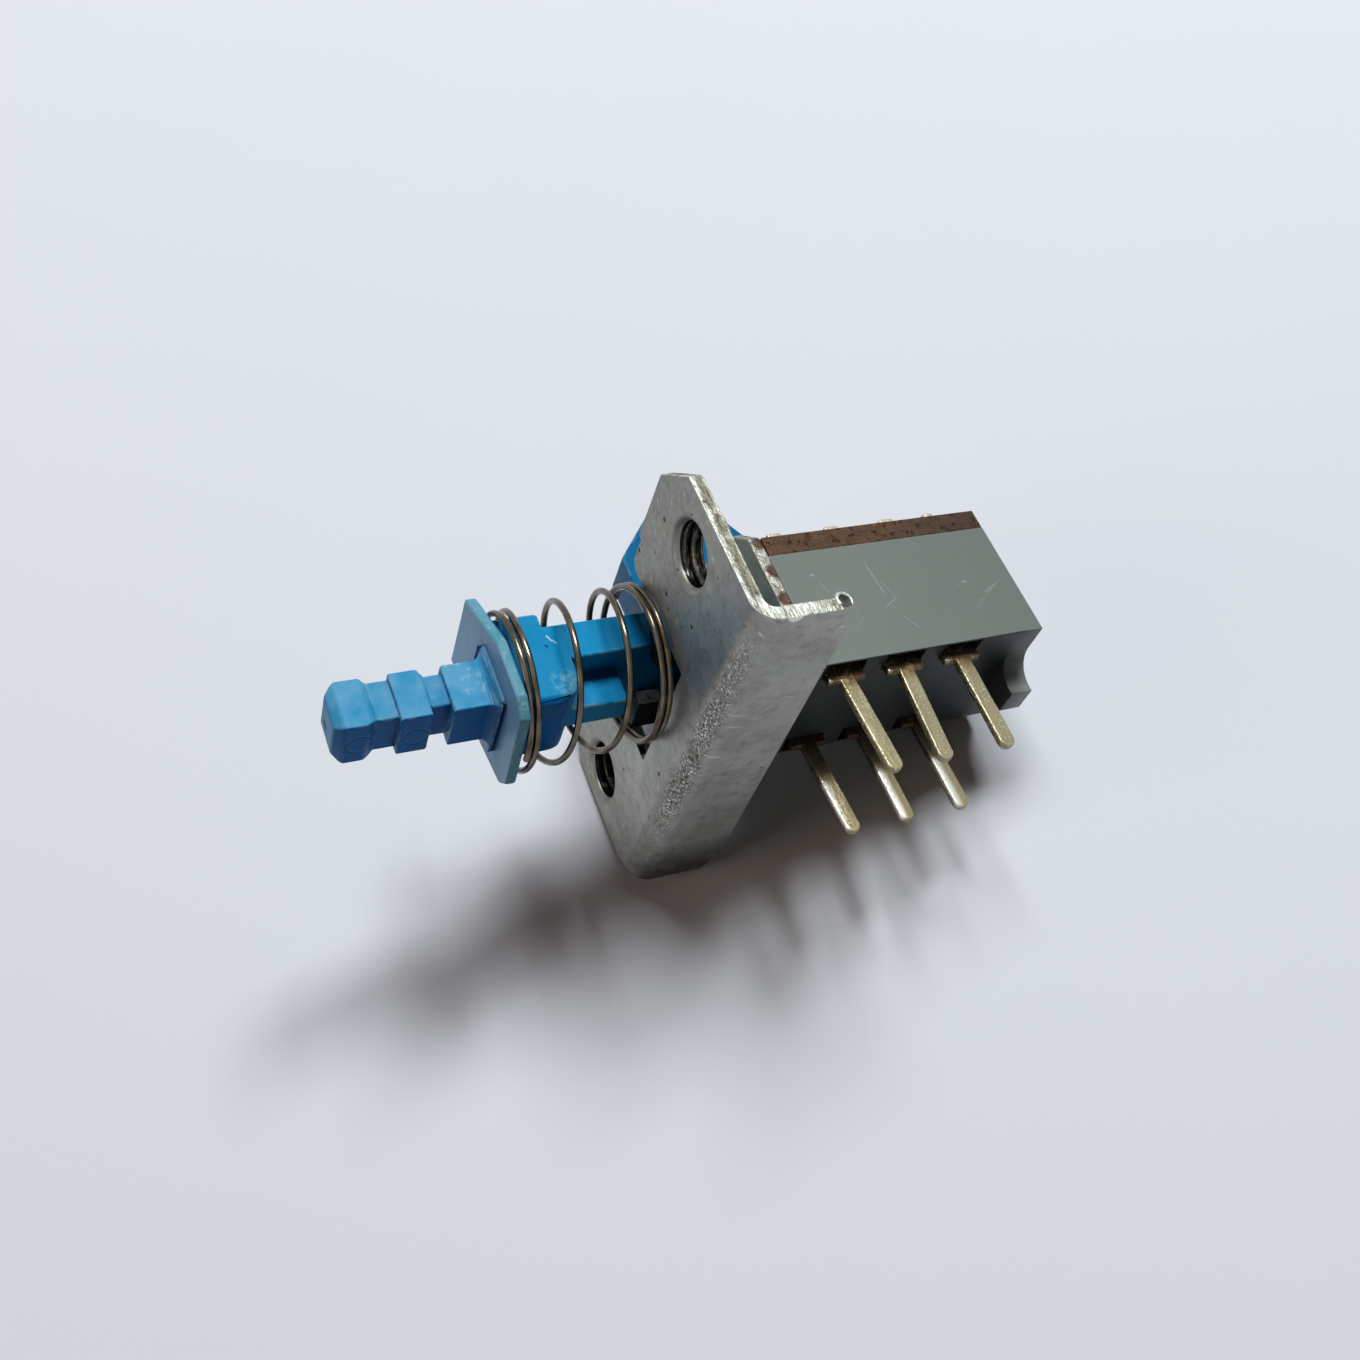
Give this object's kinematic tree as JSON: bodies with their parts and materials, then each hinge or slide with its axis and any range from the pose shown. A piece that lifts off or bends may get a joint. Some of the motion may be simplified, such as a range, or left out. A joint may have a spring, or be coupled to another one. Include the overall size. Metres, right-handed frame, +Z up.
{
  "type": "latching push button switch",
  "caption": "Latching push button switch: a plunger with a finger bar and return spring slides through a folded, threaded mounting bracket into a moulded contact body with circuit board pins.",
  "frame": {"origin": "midway between the two threaded holes, on the front face of the bracket", "axes": "+X along the plunger into the body, +Z up with the circuit board pins pointing down, Y across the bracket"},
  "size_m": [0.0298, 0.0192, 0.0155],
  "materials": {
    "plated_steel": "dull zinc plating",
    "grey_plastic": "smooth moulded",
    "phenolic_board": "sawn paper laminate",
    "plated_brass": "tin plated",
    "blue_plastic": "smooth moulded",
    "spring_wire": "bright wire",
    "contact_bronze": "bright sheet"
  },
  "bodies": {
    "switch_body": {"bracket": "plated_steel", "body_plate": "plated_steel", "housing": "grey_plastic", "terminal_board": "phenolic_board", "board_rivets": "plated_brass", "terminal_near_1": "plated_brass", "terminal_near_2": "plated_brass", "terminal_near_3": "plated_brass", "terminal_far_1": "plated_brass", "terminal_far_2": "plated_brass", "terminal_far_3": "plated_brass", "return_spring": "spring_wire", "latch_spring": "spring_wire"},
    "plunger_body": {"plunger": "blue_plastic", "contact_clip_near": "contact_bronze", "contact_clip_far": "contact_bronze"},
    "latch_body": {"latch_pin": "spring_wire"}
  },
  "joints": [
    {"name": "plunger_slide", "type": "slide", "parent": "switch_body", "child": "plunger_body", "axis": [1, 0, 0], "range_m": [0, 0.0034], "stiffness_N_per_m": 84, "springref_m": -0.004, "deforming": ["return_spring"]},
    {"name": "latch_pin_swing", "type": "hinge", "parent": "switch_body", "child": "latch_body", "pos_m": [0.0114, 0.00135, 0.00595], "axis": [0, -1, 0], "range_deg": [0, 11.4]}
  ],
  "couplings": [
    {"joint": "latch_pin_swing", "follows": "plunger_slide", "rad_per_m": 58.4}
  ]
}
